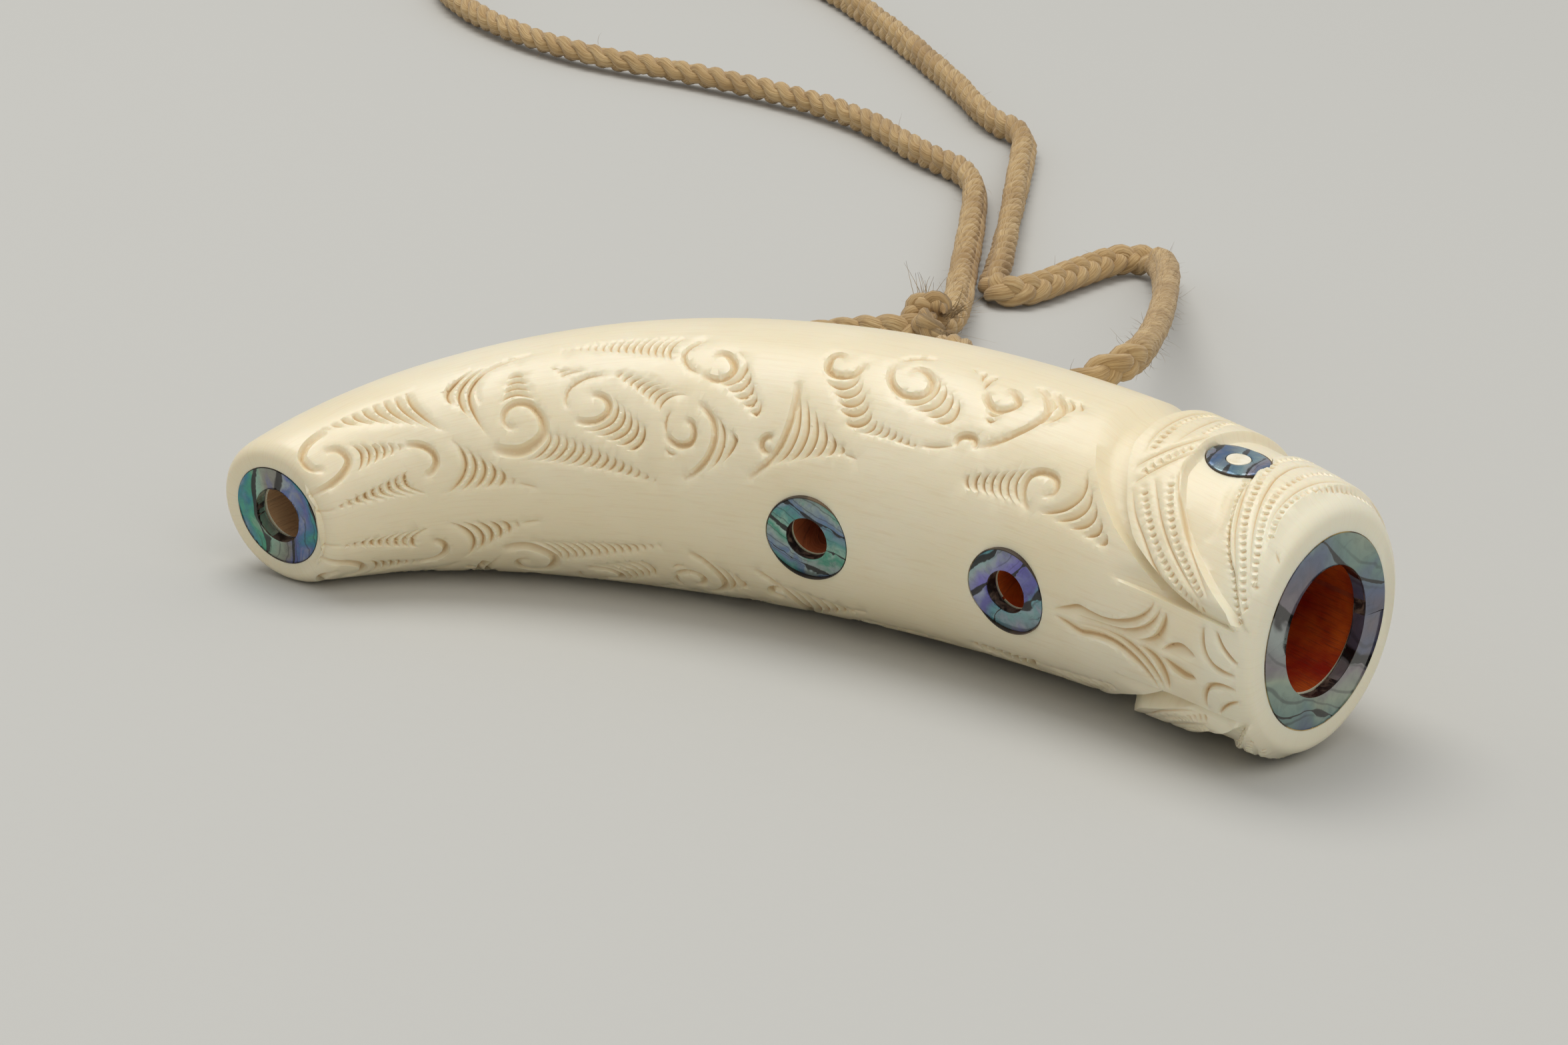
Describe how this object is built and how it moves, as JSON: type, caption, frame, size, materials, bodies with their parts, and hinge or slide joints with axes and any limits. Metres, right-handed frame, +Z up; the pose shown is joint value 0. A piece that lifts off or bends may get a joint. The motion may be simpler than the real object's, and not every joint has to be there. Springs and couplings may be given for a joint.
{
  "type": "carved nose flute",
  "caption": "Curved carved bone flute with shell inlays at its ends, finger holes and eyes, lying on its side with a plaited neck cord threaded through its back.",
  "frame": {"origin": "on the floor, under the middle of the flute's bounding box, measured without the cord", "axes": "+X from the small end towards the mouth, +Z up from the floor, -Y the side with the finger holes"},
  "size_m": [0.3475, 0.3407, 0.0393],
  "materials": {
    "bone": "polished cream bone",
    "shell": "iridescent blue-green shell",
    "pupil": "polished cream bone",
    "fibre": "plaited plant fibre"
  },
  "bodies": {
    "root": {"flute_body": "bone", "mouth_inlay": "shell", "tip_inlay": "shell", "finger_inlay_1": "shell", "finger_inlay_2": "shell", "upper_eye": "shell", "lower_eye": "shell", "upper_pupil": "pupil", "lower_pupil": "pupil", "cord": "fibre", "cord_knot": "fibre"}
  },
  "joints": []
}
